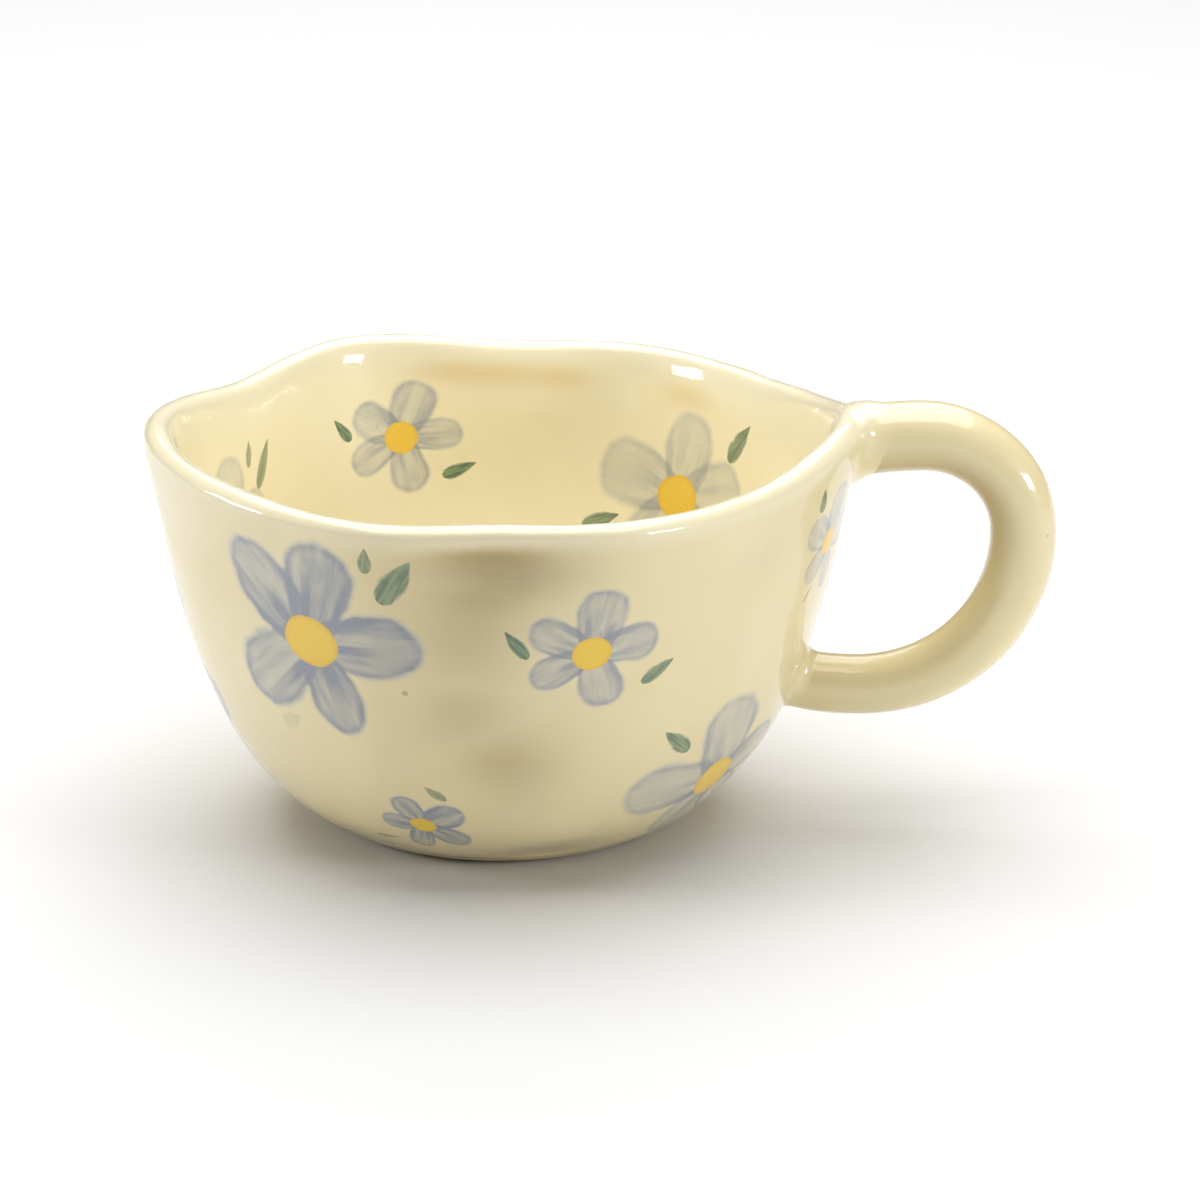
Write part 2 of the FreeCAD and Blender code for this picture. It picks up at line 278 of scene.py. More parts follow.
TURN = Matrix.Rotation(math.radians(-4.0), 3, "Z")
# The middle line of the roll, with the CAD handle's own sizes, in a plane turned about Z.
HANDLE_TOP, HANDLE_REACH = 63.3 * MM, 82.8 * MM
SHOULDER, LOOP = 15.6 * MM, 26.0 * MM
UPPER_BEND, LOWER_BEND = 44.0 * MM, 52.0 * MM
UPPER_ROOT, LOWER_ROOT = 54.0 * MM, 44.7 * MM
ROLL = 64  # points round the roll
ROLL_RADII = [0, 0.62, 1], [5.7 * MM, 5.12 * MM, 4.7 * MM]  # shares of the line, and radii there
ROLL_MEAN, ROLL_MOST = 5.0 * MM, 6.4 * MM
SINK = 0.6 * MM  # how deep the slip's hidden edge lies under both skins


def handle_line():
    """The roll's middle line from the lip round to the belly, evenly stepped."""
    side = HANDLE_TOP - SHOULDER
    low = side - LOOP
    shoulder_x, loop_x = HANDLE_REACH - SHOULDER, HANDLE_REACH - LOOP
    upper = math.acos((UPPER_ROOT - shoulder_x) / UPPER_BEND)
    lower = 2 * math.pi - math.acos((LOWER_ROOT - loop_x) / LOWER_BEND)
    arcs = [
        (shoulder_x, HANDLE_TOP - UPPER_BEND, UPPER_BEND, upper, math.pi / 2),
        (shoulder_x, side, SHOULDER, math.pi / 2, 0),
        (loop_x, side, LOOP, 0, -math.pi / 2),
        (loop_x, low + LOWER_BEND, LOWER_BEND, 1.5 * math.pi, lower),
    ]
    points = []
    for x, z, radius, start, end in arcs:
        for turn in np.linspace(start, end, 200)[:-1]:
            points.append((x + radius * math.cos(turn), 0, z + radius * math.sin(turn)))
    points = np.array(points)
    run = np.concatenate([[0], np.cumsum(np.linalg.norm(np.diff(points, axis=0), axis=1))])
    even = np.linspace(0, run[-1], 150)
    return np.stack([np.interp(even, run, points[:, k]) for k in range(3)], 1)


def make_handle():
    """The roll's skin as a smooth tube, with its grid of points and its middle line."""
    tree = skin("handle")
    line = handle_line()
    ahead = np.gradient(line, axis=0)
    ahead /= np.linalg.norm(ahead, axis=1, keepdims=True)
    out = np.stack([-ahead[:, 2], ahead[:, 1], ahead[:, 0]], 1)
    sideways = np.array([0, 1, 0])
    share = np.linspace(0, 1, len(line))[:, None]
    nominal = np.interp(share, *ROLL_RADII)
    turns = np.arange(ROLL) * 2 * math.pi / ROLL
    spokes = out[:, None, :] * np.cos(turns)[None, :, None]
    spokes = spokes + sideways * np.sin(turns)[None, :, None]
    spin = np.array(TURN)
    line, spokes = line @ spin.T, spokes @ spin.T
    radii = np.repeat(nominal, ROLL, 1)
    for i, centre in enumerate(line):
        for k, spoke in enumerate(spokes[i]):
            hit = tree.ray_cast(Vector(centre), Vector(spoke))[3]
            if hit and abs(hit - nominal[i, 0]) < 0.5 * MM:
                radii[i, k] = hit
    grid = line[:, None, :] + spokes * radii[..., None]
    grid += spokes * (hand_relief(grid, 13 * MM, 0.30 * MM, 5))[..., None]
    slide = (line[0] - grid[0]) @ spin[:, 0] / (line[1] - line[0]).dot(spin[:, 0])
    for i in range(6):  # the first ring stands upright inside the lip
        grid[i] += (line[1] - line[0]) * (slide * (1 - i / 6))[:, None]
    return closed_tube("handle_roll", grid, line[0], line[-1]), grid, line


def inner_side(grid, line):
    """How far each point of the roll looks into the loop, for painted shade there; faces turning up get
    less of it.
    """
    middle = line.mean(0)
    looks = grid - line[:, None, :]
    looks /= np.linalg.norm(looks, axis=2, keepdims=True)
    inward = middle - grid
    inward /= np.linalg.norm(inward, axis=2, keepdims=True)
    share = np.clip((looks * inward).sum(2) * 1.4 + 0.4, 0, 1)
    share *= 1.35 * np.clip(1 - 1.3 * looks[..., 2], 0, 1)
    return np.append(share.ravel(), [0, 0])


def height_above(tree, point):
    """How far a point is above a skin; below it the answer is negative."""
    near, normal = tree.find_nearest(point)[:2]
    return (point - near).dot(normal)


def slip_field(points, root, blend_at):
    """Below zero inside the slip, which rounds out the corner between the wall and the roll.

    Away from the corner the slip sinks under both skins, so that its edge never shows, and it
    stops halfway through the wall, a little past the root radius.
    """
    values = np.empty(len(points))
    from_line = np.full(len(points), 1.0)
    for centre in roll_line:
        from_line = np.minimum(from_line, np.linalg.norm(points - centre, axis=1))
    for i, p in enumerate(points):
        point = Vector(p)
        outward = math.hypot(point.x, point.y) - root
        blend = max(blend_at(point) * min(max(outward / (4.5 * MM), 0), 1), 0.8 * MM)
        wall, roll = height_above(WALL_TREE, point), height_above(ROLL_TREE, point)
        if abs(roll) > 0.6 * MM or from_line[i] > ROLL_MOST:
            nearest = ROLL_TREE.find_nearest(point)[0]
            roll = math.copysign((point - nearest).length, from_line[i] - ROLL_MEAN)
        apart = abs(wall - roll) / blend
        together = max(1 - apart, 0)
        sink = 0.03 * MM + SINK * min(max((apart - 0.9) / 0.6, 0), 1)
        value = min(wall, roll) - together * together * blend / 4 + sink
        values[i] = max(value, 0.5 * MM - outward)
    return values


def net_over(values, low, step):
    """A closed net of quads over the place where the values on a grid pass through zero."""
    inside = values < 0
    cells = np.array(values.shape) - 1
    total, count = np.zeros((*cells, 3)), np.zeros(tuple(cells))
    base = np.stack(np.meshgrid(*[np.arange(n) for n in cells], indexing="ij"), -1)

    def corner(array, offset):
        return array[tuple(slice(o, o + n) for o, n in zip(offset, cells))]

    for axis in range(3):
        others = [a for a in range(3) if a != axis]
        for first in (0, 1):
            for second in (0, 1):
                start = [0, 0, 0]
                start[others[0]], start[others[1]] = first, second
                end = list(start)
                end[axis] = 1
                a, b = corner(values, start), corner(values, end)
                crossing = (a < 0) != (b < 0)
                share = np.where(crossing, a / np.where(crossing, a - b, 1), 0)
                place = base + np.array(start)
                place = place + share[..., None] * np.eye(3)[axis]
                total += place * crossing[..., None]
                count += crossing
    active = count > 0
    number = np.full(tuple(cells), -1)
    number[active] = np.arange(active.sum())
    verts = low + step * total[active] / count[active][:, None]
    faces = []
    for axis in range(3):
        b, c = (axis + 1) % 3, (axis + 2) % 3
        ahead = np.moveaxis(inside, (axis, b, c), (0, 1, 2))
        cell = np.moveaxis(number, (axis, b, c), (0, 1, 2))
        crossing = ahead[:-1, 1:-1, 1:-1] != ahead[1:, 1:-1, 1:-1]
        for x, y, z in np.argwhere(crossing):
            faces.append((cell[x, y, z], cell[x, y + 1, z], cell[x, y + 1, z + 1], cell[x, y, z + 1]))
    return verts, [tuple(int(v) for v in f) for f in faces]


def make_slip(name, low, high, root, blend_at, step=0.5 * MM):
    """The slip in the corner between wall and roll, within a box."""
    low, high = np.array(low) * MM, np.array(high) * MM
    sides = [np.arange(a, b, step) for a, b in zip(low, high)]
    points = np.stack(np.meshgrid(*sides, indexing="ij"), -1)
    shape = points.shape[:3]
    values = slip_field(points.reshape(-1, 3), root, blend_at).reshape(shape)
    slope = np.stack(np.gradient(values, step), -1)
    for axis in range(3):
        for edge in (0, -1):
            np.moveaxis(values, axis, 0)[edge] = step
    verts, faces = net_over(values, low, step)
    index = np.rint((verts - low) / step).astype(int)
    free = np.all((index > 1) & (index < np.array(shape) - 2), axis=1)
    way = slope[tuple(index[free].T)]
    way /= np.maximum(np.linalg.norm(way, axis=1, keepdims=True), 1e-9)
    start = verts[free]
    shift = np.zeros(len(start))
    for _ in range(4):
        shift -= slip_field(start + way * shift[:, None], root, blend_at)
        shift = np.clip(shift, -0.6 * step, 0.6 * step)
    verts[free] = start + way * shift[:, None]
    return mesh_object(name, verts, faces)


# ------------------------------------------------------------------ painted flowers

# Each flower: angle and height of its centre, the centre's long and short radius and turn,
# how strong the paint is, and its petals as direction, length from the centre and full width.
# Sizes are in millimetres over the wall; directions turn from the way the angle grows.
OUTSIDE_FLOWERS = [
    (238.2, 42.8, (5.1, 4.4, -10), 1.0,
     [(137, 20.2, 12.6), (77, 18.0, 12.6), (4, 18.7, 11.6), (-71, 16.4, 10.2), (-143, 18.6, 13.4)]),
    (285.9, 43.1, (3.1, 2.8, 25), 0.85,
     [(153, 10.5, 6.2), (77, 10.9, 8.2), (10, 10.9, 6.8), (-74, 9.8, 7.6), (-153, 10.6, 5.8)]),
    (253.6, 11.0, (2.2, 1.9, -22), 1.0,
     [(175, 6.6, 4.8), (110, 7.6, 4.6), (32, 7.6, 6.3), (-38, 8.8, 5.2), (-106, 8.2, 4.8)]),
    (321.5, 14.4, (4.2, 3.8, 50), 0.8,
     [(176, 18.7, 12.0), (94, 16.4, 12.6), (20, 15.0, 9.0), (-45, 15.0, 9.5), (-110, 15.0, 10.0)]),
    (341.2, 50.1, (2.4, 2.1, 43), 0.7,
     [(150, 8.6, 6.2), (80, 10.0, 6.4), (10, 8.8, 6.0), (-80, 8.4, 4.6), (-140, 8.4, 4.4)]),
    (184.5, 30.0, (4.3, 4.0, 10), 1.0,
     [(136, 16.0, 10.5), (60, 16.0, 11.0), (-27, 20.0, 12.5), (-90, 15.5, 9.5), (-154, 16.5, 11.0)]),
    (144.0, 52.0, (2.5, 2.3, 0), 0.8,
     [(160, 8.4, 5.6), (92, 9.0, 6.4), (20, 8.6, 5.8), (-52, 8.2, 5.6), (-125, 8.8, 6.0)]),
    (126.0, 24.5, (3.6, 3.3, 30), 0.9,
     [(170, 13.2, 8.8), (100, 13.8, 9.6), (28, 13.0, 8.6), (-44, 12.6, 8.2), (-118, 13.4, 9.0)]),
    (84.0, 44.5, (5.0, 4.5, 15), 1.0,
     [(148, 18.0, 11.5), (78, 17.4, 12.0), (2, 18.2, 11.4), (-66, 16.6, 10.6), (-140, 18.4, 11.8)]),
    (73.0, 13.0, (2.4, 2.1, -20), 0.9,
     [(165, 8.0, 5.4), (98, 8.2, 5.6), (24, 8.6, 5.8), (-50, 7.8, 5.0), (-122, 8.0, 5.4)]),
    (38.0, 34.5, (3.3, 3.0, 40), 0.85,
     [(150, 12.0, 7.8), (82, 12.6, 8.4), (8, 12.2, 7.8), (-62, 11.6, 7.4), (-134, 12.2, 8.0)]),
]
INSIDE_FLOWERS = [
    (111.1, 48.0, (2.9, 2.8, 0), 0.75,
     [(177, 10.5, 6.0), (112, 10.4, 8.0), (34, 9.4, 6.9), (-24, 10.2, 5.9), (-101, 9.2, 7.1)]),
    (52.1, 40.4, (4.3, 3.9, 0), 0.6,
     [(162, 16.5, 10.5), (101, 15.1, 11.2), (15, 16.1, 11.6), (-58, 15.0, 10.6), (-128, 15.4, 10.4)]),
    (160.0, 41.5, (2.8, 2.6, 0), 0.55,
     [(160, 10.0, 6.4), (84, 12.4, 9.4), (14, 10.2, 6.6), (-56, 9.8, 6.4), (-128, 10.0, 6.8)]),
    (214.0, 40.0, (4.0, 3.7, 30), 0.5,
     [(150, 15.0, 10.0), (80, 15.2, 10.6), (8, 15.6, 10.2), (-64, 14.6, 9.8), (-136, 15.0, 10.2)]),
    (262.0, 47.0, (2.8, 2.6, 0), 0.6,
     [(168, 9.8, 6.4), (96, 10.2, 7.0), (22, 9.8, 6.6), (-50, 9.4, 6.2), (-122, 10.0, 6.6)]),
    (306.0, 36.0, (3.7, 3.4, -20), 0.5,
     [(158, 13.6, 9.0), (86, 14.0, 9.6), (12, 13.4, 8.8), (-60, 13.0, 8.6), (-132, 13.8, 9.2)]),
]

# Each leaf: angle and height of its middle, the way its tip points, its length and full width,
# and how dark it is.
OUTSIDE_LEAVES = [
    (250.2, 58.2, 84, 4.6, 2.2, 0.8), (254.5, 54.8, 56, 8.8, 4.2, 0.9), (230.3, 27.7, 34, 5.0, 3.2, 0.16),
    (273.6, 44.8, 128, 5.8, 2.3, 1.0), (297.9, 38.7, 30, 6.4, 2.5, 0.9),
    (257.9, 17.8, 133, 4.4, 1.7, 0.7), (242.1, 6.7, 10, 4.6, 1.6, 0.5),
    (305.6, 24.5, 139, 8.1, 3.0, 0.9), (335.4, 58.2, 97, 4.4, 2.0, 0.9), (336.4, 42.7, 51, 3.6, 0.7, 0.5),
    (190.0, 53.0, 120, 5.6, 2.0, 0.8), (168.0, 48.0, 60, 6.4, 2.4, 0.9), (159.5, 12.5, 30, 5.2, 2.0, 0.7),
    (112.0, 57.5, 75, 5.4, 2.2, 0.9), (147.0, 38.5, 145, 5.6, 2.2, 0.8), (105.5, 34.0, 110, 6.6, 2.6, 0.9),
    (97.0, 16.5, 40, 6.0, 2.4, 0.8), (60.5, 57.0, 130, 6.0, 2.4, 0.9), (56.0, 22.5, 60, 5.4, 2.2, 0.7),
    (22.0, 50.0, 75, 6.2, 2.3, 0.9), (17.0, 26.0, 20, 5.4, 2.0, 0.8),
]
INSIDE_LEAVES = [
    (123.3, 50.6, 54, 5.0, 2.1, 1.0), (99.7, 42.3, 159, 6.2, 2.4, 1.0),
    (35.0, 52.6, 127, 9.4, 3.4, 0.9), (69.8, 34.6, 159, 7.0, 2.8, 0.9),
    (153.1, 52.6, 100, 4.6, 1.7, 0.7), (148.3, 50.0, 118, 8.8, 2.6, 0.8),
    (185.0, 50.0, 70, 6.0, 2.2, 0.8), (238.0, 52.0, 120, 6.4, 2.4, 0.9), (240.0, 30.0, 45, 5.6, 2.2, 0.8),
    (283.0, 54.0, 60, 5.6, 2.2, 0.9), (330.0, 50.0, 110, 6.4, 2.4, 0.9), (12.0, 40.0, 60, 6.0, 2.2, 0.8),
]
PETAL_LAYERS = (0, 1, 0, 1, 2)  # neighbours on a flower lie in different layers
# Painted shade in the pressed hollows outside, where the glaze also ran thicker: angle, height, strength
# and reach.
HOLLOW_SHADE_AND_THICK_GLAZE = [
    (269.5, 58.0, 2.3, 12.5, 5.0), (265.5, 47.5, 1.35, 10, 11.0), (271, 24.0, 1.2, 9.5, 6.5),
    (265, 33.0, 1.0, 8.5, 7.5), (226, 56.0, 0.3, 8, 4.0), (322, 53.0, 0.25, 9, 5.0),
    (36, 56.5, 0.6, 10, 5.0), (62, 31.0, 0.5, 9, 8.0), (92, 56.0, 0.8, 9, 4.6),
    (118, 29.0, 0.5, 10, 8.0), (152, 55.5, 0.6, 10, 5.0), (190, 31.0, 0.5, 9, 8.0),
]
# Painted shade under the lip inside, where glaze also pooled: angle, height, and reach. Glaze also pooled
# over the floor.
LIP_SHADE_AND_POOLS = [(101, 58.8, 8, 2.2), (90, 58.4, 8, 2.4), (79, 57.8, 6, 2.0), (52, 57.5, 7, 2.2), (268, 58, 8, 2.4)]
FLOOR_POOL_TOP, FLOOR_POOL_DEPTH = 19, 10
MARK_EDGE = 1.7  # how far past its outline a mark's place is still told
MARK_GAP = 1.3  # how much nearer a mark must be than the next one to show


class Wall:
    """Where points are over the bowl's wall, in millimetres and degrees."""

    def __init__(self, grid):
        radius, height = np.hypot(grid[..., 0], grid[..., 1]) / MM, grid[..., 2] / MM
        crest = height.argmax(0)
        column = np.arange(AROUND)
        self.lip = np.append(height[crest, column], height[crest[0], 0])
        self.lip_radius = np.append(radius[crest, column], radius[crest[0], 0])
        mean_r, mean_z = radius.mean(1), height.mean(1)
        top = int(mean_z.argmax())
        run = np.concatenate([[0], np.cumsum(np.hypot(np.diff(mean_r), np.diff(mean_z))[4:top])])
        self.outer = mean_z[4:top + 1], mean_r[4:top + 1], run
        self.inner = mean_z[top:-1][::-1], mean_r[top:-1][::-1]

    def place(self, points, inside=None):
        """Take these points to paint; without flags, those within the lip's crest are inside."""
        self.angle = np.degrees(np.arctan2(points[:, 1], points[:, 0])) % 360
        self.height = points[:, 2] / MM
        turns = np.linspace(0, 360, AROUND + 1)
        self.from_lip = np.interp(self.angle, turns, self.lip) - self.height
        radius = np.hypot(points[:, 0], points[:, 1]) / MM
        past_lip = radius - np.interp(self.angle, turns, self.lip_radius)
        self.inside = (past_lip < 0) & (self.from_lip < 8) if inside is None else inside
        self.from_lip = self.from_lip + np.clip(past_lip - 2.4, 0, 8)
        off_wall = radius - np.interp(self.height, *self.outer[:2])
        self.shown = np.clip(2.2 - off_wall / 2, 0, 1)

    def local(self, angle, height, inside):
        """Every point's place round and up from a spot on the wall."""
        zs, rs, run = self.outer
        radius = np.interp(height, *(self.inner if inside else (zs, rs)))
        turn = (self.angle - angle + 180) % 360 - 180
        up = np.interp(self.height, zs, run) - np.interp(height, zs, run)
        return np.radians(turn) * radius, up


def store(obj, name, layers):
    """Keep four numbers at each point of a mesh for the material to read."""
    values = np.stack(layers, -1).astype(np.float32)
    attribute = obj.data.attributes.new(name, "FLOAT_COLOR", "POINT")
    attribute.data.foreach_set("color", values.ravel())


def nearest_marks(wall, marks, centre):
    """For each point its place on the nearest mark, that mark's seed and strength.

    The strength falls to nothing between marks, so that no mark shows where the place jumps from
    one to another. Each mark is (angle, height, inside, direction, length, half width, seed,
    strength); its place is along and across it, as shares of its length and half width, and its
    outline is an ellipse round centre.
    """
    shape = wall.angle.shape
    best, second = np.full(shape, 1e3), np.full(shape, 1e3)
    found = [np.zeros(shape) for _ in range(4)]
    for angle, height, inside, direction, length, half, seed, strength in marks:
        x, y = wall.local(angle, height, inside)
        c, s = math.cos(math.radians(direction)), math.sin(math.radians(direction))
        along, across = (x * c + y * s) / length, (y * c - x * s) / half
        off = (np.hypot((along - centre) / (1 - centre), across) - 1) * min(length / 2, half)
        off = np.where(wall.inside == inside, off, 1e3)
        nearer = off < best
        second = np.where(nearer, best, np.minimum(second, off))
        best = np.where(nearer, off, best)
        for layer, value in zip(found, (along, across, seed, strength)):
            layer[...] = np.where(nearer, value, layer)
    found[3] = found[3] * ((best < MARK_EDGE) & (second - best > MARK_GAP)) * wall.shown
    return found


def paint_places(obj, wall):
    """Store each point's place on the flowers, leaves and glaze for the material."""
    petals, eyes, leaves = [[], [], []], [], [[], []]
    sides = ((OUTSIDE_FLOWERS, OUTSIDE_LEAVES, False), (INSIDE_FLOWERS, INSIDE_LEAVES, True))
    for flowers, side_leaves, inside in sides:
        for f, (angle, height, (long, short, turn), strength, strokes) in enumerate(flowers):
            eyes.append((angle, height, inside, turn, long, short, f * 0.37 % 1, 1.0))
            for k, (direction, length, width) in enumerate(strokes):
                seed = (f * 0.31 + k * 0.173 + inside * 0.5) % 1
                mark = (angle, height, inside, direction, length, width / 2, seed, strength)
                petals[PETAL_LAYERS[k]].append(mark)
        for n, (angle, height, direction, length, width, dark) in enumerate(side_leaves):
            mark = (angle, height, inside, direction, length / 2, width / 2, n * 0.29 % 1, dark)
            leaves[n % 2].append(mark)
    for layer, marks in enumerate(petals):
        store(obj, f"petal_{layer}", nearest_marks(wall, marks, 0.53))
    for layer, marks in enumerate(leaves):
        store(obj, f"leaf_{layer}", nearest_marks(wall, marks, 0.0))
    store(obj, "eye", nearest_marks(wall, eyes, 0.0))
    # Painted shade under the lip inside, partly glaze pooled there; honey pooled glaze over the floor.
    pool_and_shade = np.zeros(wall.angle.shape)
    for angle, height, wide, tall in LIP_SHADE_AND_POOLS:
        pool_and_shade += soft_spot(wall.angle, wall.height, (angle, height), (wide, tall))
    pool_and_shade += 0.9 * np.clip((FLOOR_POOL_TOP - wall.height) / FLOOR_POOL_DEPTH, 0, 1)
    # Painted shade: darker amber in the pressed hollows outside, where the glaze also ran thicker.
    shade_and_thick = np.zeros(wall.angle.shape)
    for angle, height, strength, wide, tall in HOLLOW_SHADE_AND_THICK_GLAZE:
        spot = soft_spot(wall.angle, wall.height, (angle, height), (wide, tall))
        shade_and_thick = np.maximum(shade_and_thick, strength * spot * ~wall.inside)
    store(obj, "wall", [wall.from_lip / 10, wall.inside * 1.0, pool_and_shade * wall.inside, shade_and_thick])


# ------------------------------------------------------------------ finishes


# Colours as the nodes take them, each a pair to mix between where there are two.
CREAM = (0.85, 0.725, 0.405, 1), (0.88, 0.765, 0.455, 1)
LIT_CREAM_INSIDE = (0.965, 0.895, 0.65, 1)
CREAM_OVER_LIP = (0.93, 0.86, 0.61, 1)
SHADE_AND_THICK_AMBER = (0.44, 0.325, 0.13, 1)
POOLED_HONEY_AND_SHADE = (0.80, 0.60, 0.24, 1)
PETAL_BLUE = (0.43, 0.47, 0.49, 1), (0.27, 0.295, 0.345, 1)
LEAF_GREEN = (0.065, 0.135, 0.085, 1), (0.22, 0.32, 0.155, 1)
EYE_YELLOW = (0.93, 0.57, 0.02, 1), (0.93, 0.66, 0.05, 1)
EYE_RIM = (0.78, 0.42, 0.03, 1)
SPECK = (0.25, 0.20, 0.14, 1)
CLAY = (0.46, 0.37, 0.25, 1), (0.66, 0.56, 0.42, 1)
GROG = (0.22, 0.15, 0.10, 1)
FOOT_GLAZE = (0.86, 0.745, 0.45, 1)


def node(tree, kind, inputs=(), **settings):
    """Add a node, set it up, and give its inputs their values or links."""
    made = tree.nodes.new(kind)
    for name, value in settings.items():
        setattr(made, name, value)
    for name, value in dict(inputs).items():
        if isinstance(value, bpy.types.NodeSocket):
            tree.links.new(value, made.inputs[name])
        else:
            made.inputs[name].default_value = value
    return made


def calc(tree, operation, *values, clamp=False):
    made = node(tree, "ShaderNodeMath", enumerate(values), operation=operation, use_clamp=clamp)
    return made.outputs[0]


def ramp(tree, value, low, high, start=0.0, end=1.0):
    """A soft step from start at low to end at high."""
    inputs = {0: value, 1: low, 2: high, 3: start, 4: end}
    made = node(tree, "ShaderNodeMapRange", inputs, interpolation_type="SMOOTHSTEP")
    return made.outputs[0]


def mix(tree, factor, a, b):
    inputs = {0: factor, 6: a, 7: b}
    return node(tree, "ShaderNodeMix", inputs, data_type="RGBA").outputs[2]


def grain(tree, vector, scale, detail=2.0, w=None, stretch=None):
    """Soft noise from 0 to 1."""
    if stretch:
        scaled = {0: vector, 1: stretch}
        vector = node(tree, "ShaderNodeVectorMath", scaled, operation="MULTIPLY").outputs[0]
    inputs = {"Vector": vector, "Scale": scale, "Detail": detail}
    if w is not None:
        inputs["W"] = w
    dims = "3D" if w is None else "4D"
    return node(tree, "ShaderNodeTexNoise", inputs, noise_dimensions=dims).outputs["Fac"]


def read_place(tree, name):
    """Along, across, seed and strength of the nearest mark of this kind."""
    place = node(tree, "ShaderNodeAttribute", attribute_name=name)
    parts = node(tree, "ShaderNodeSeparateColor", {0: place.outputs["Color"]}).outputs
    return parts[0], parts[1], parts[2], place.outputs["Alpha"]


def curve(tree, value, points):
    """A curve through the listed points, from 0 to 1."""
    made = node(tree, "ShaderNodeFloatCurve", {1: value})
    line = made.mapping.curves[0]
    for x, y in points[1:-1]:
        line.points.new(x, y)
    line.points[0].location, line.points[-1].location = points[0], points[-1]
    made.mapping.update()
    return made.outputs[0]


def petal_coat(tree, name, place):
    """How thickly one layer of petals covers each point."""
    along, across, seed, strength = read_place(tree, name)
    sides = [(0, 0.50), (0.15, 0.64), (0.35, 0.86), (0.55, 0.98), (0.7, 1.0), (1, 1.0)]
    lane = calc(tree, "DIVIDE", across, curve(tree, along, sides))
    tip = calc(tree, "DIVIDE", calc(tree, "SUBTRACT", along, 0.60), 0.40)
    tip = calc(tree, "POWER", calc(tree, "MAXIMUM", tip, 0.0), 2.4)
    round_off = calc(tree, "ADD", calc(tree, "MULTIPLY", lane, lane), tip)
    wobble = calc(tree, "MULTIPLY_ADD", grain(tree, place, 210, 3.0), 0.34, -0.17)
    edge = calc(tree, "ADD", calc(tree, "SQRT", round_off), wobble)
    inside = ramp(tree, edge, 1.08, 0.82)
    started = ramp(tree, along, -0.02, 0.05)
    spot = node(tree, "ShaderNodeCombineXYZ", {0: along, 1: lane, 2: 0.0}).outputs[0]
    shift = calc(tree, "MULTIPLY", seed, 23.0)
    streaks = ramp(tree, grain(tree, spot, 1.0, 2.0, shift, (1.3, 2.5, 1.0)), 0.36, 0.66)
    bristles = grain(tree, spot, 1.0, 3.0, shift, (2.4, 11.0, 1.0))
    blots = grain(tree, spot, 1.0, 3.0, shift, (2.4, 1.6, 1.0))
    rim = ramp(tree, edge, 0.58, 0.90)
    root = ramp(tree, along, 0.72, 0.25)
    coat = calc(tree, "MULTIPLY_ADD", streaks, 0.18, 0.62)
    coat = calc(tree, "MULTIPLY_ADD", rim, 0.20, coat)
    coat = calc(tree, "MULTIPLY_ADD", calc(tree, "MULTIPLY", root, streaks), 0.24, coat)
    coat = calc(tree, "MULTIPLY_ADD", calc(tree, "SUBTRACT", bristles, 0.5), 0.18, coat)
    coat = calc(tree, "MULTIPLY_ADD", calc(tree, "SUBTRACT", blots, 0.5), 0.62, coat)
    coat = calc(tree, "MULTIPLY", calc(tree, "MULTIPLY", coat, inside, clamp=True), started)
    return calc(tree, "MULTIPLY", coat, strength, clamp=True)


def leaf_coat(tree, name, place):
    """How thickly one layer of leaves covers each point, and its green."""
    along, across, seed, dark = read_place(tree, name)
    sides = [
        (0, 0.0), (0.06, 0.50), (0.2, 0.88), (0.38, 1.0),
        (0.6, 0.85), (0.8, 0.48), (0.93, 0.2), (1, 0.0),
    ]
    from_stalk = calc(tree, "MULTIPLY_ADD", along, 0.5, 0.5)
    half = calc(tree, "MAXIMUM", curve(tree, from_stalk, sides), 0.02)
    wobble = calc(tree, "MULTIPLY_ADD", grain(tree, place, 520, 2.0), 0.5, -0.25)
    edge = calc(tree, "ADD", calc(tree, "DIVIDE", calc(tree, "ABSOLUTE", across), half), wobble)
    spot = node(tree, "ShaderNodeCombineXYZ", {0: along, 1: across, 2: 0.0}).outputs[0]
    brush = grain(tree, spot, 1.0, 2.0, calc(tree, "MULTIPLY", seed, 31.0), (0.9, 3.0, 1.0))
    green = mix(tree, ramp(tree, brush, 0.35, 0.65), *LEAF_GREEN)
    within = ramp(tree, calc(tree, "ABSOLUTE", along), 1.0, 0.94)
    cover = calc(tree, "MULTIPLY", ramp(tree, edge, 1.10, 0.70), calc(tree, "MULTIPLY", dark, within))
    return cover, green


def paint_flowers(tree, place, glaze):
    """The glaze colour with petals, leaves and yellow centres under it."""
    bare = None
    for layer in range(3):
        left = calc(tree, "SUBTRACT", 1.0, petal_coat(tree, f"petal_{layer}", place))
        bare = left if bare is None else calc(tree, "MULTIPLY", bare, left)
    cover = calc(tree, "SUBTRACT", 1.0, bare)
    pigment = mix(tree, ramp(tree, cover, 0.35, 0.95), *PETAL_BLUE)
    colour = mix(tree, cover, glaze, pigment)

    for layer in range(2):
        leaf, green = leaf_coat(tree, f"leaf_{layer}", place)
        colour = mix(tree, leaf, colour, green)

    x, y, _, shown = read_place(tree, "eye")
    squares = calc(tree, "ADD", calc(tree, "MULTIPLY", x, x), calc(tree, "MULTIPLY", y, y))
    wobble = calc(tree, "MULTIPLY_ADD", grain(tree, place, 170, 2.0), 0.26, -0.13)
    radius = calc(tree, "ADD", calc(tree, "SQRT", squares), wobble)
    yellow = mix(tree, grain(tree, place, 260, 2.0), *EYE_YELLOW)
    yellow = mix(tree, ramp(tree, radius, 0.72, 0.98, 0.0, 0.45), yellow, EYE_RIM)
    eye = calc(tree, "MULTIPLY", ramp(tree, radius, 1.0, 0.93), shown)
    return mix(tree, eye, colour, yellow)


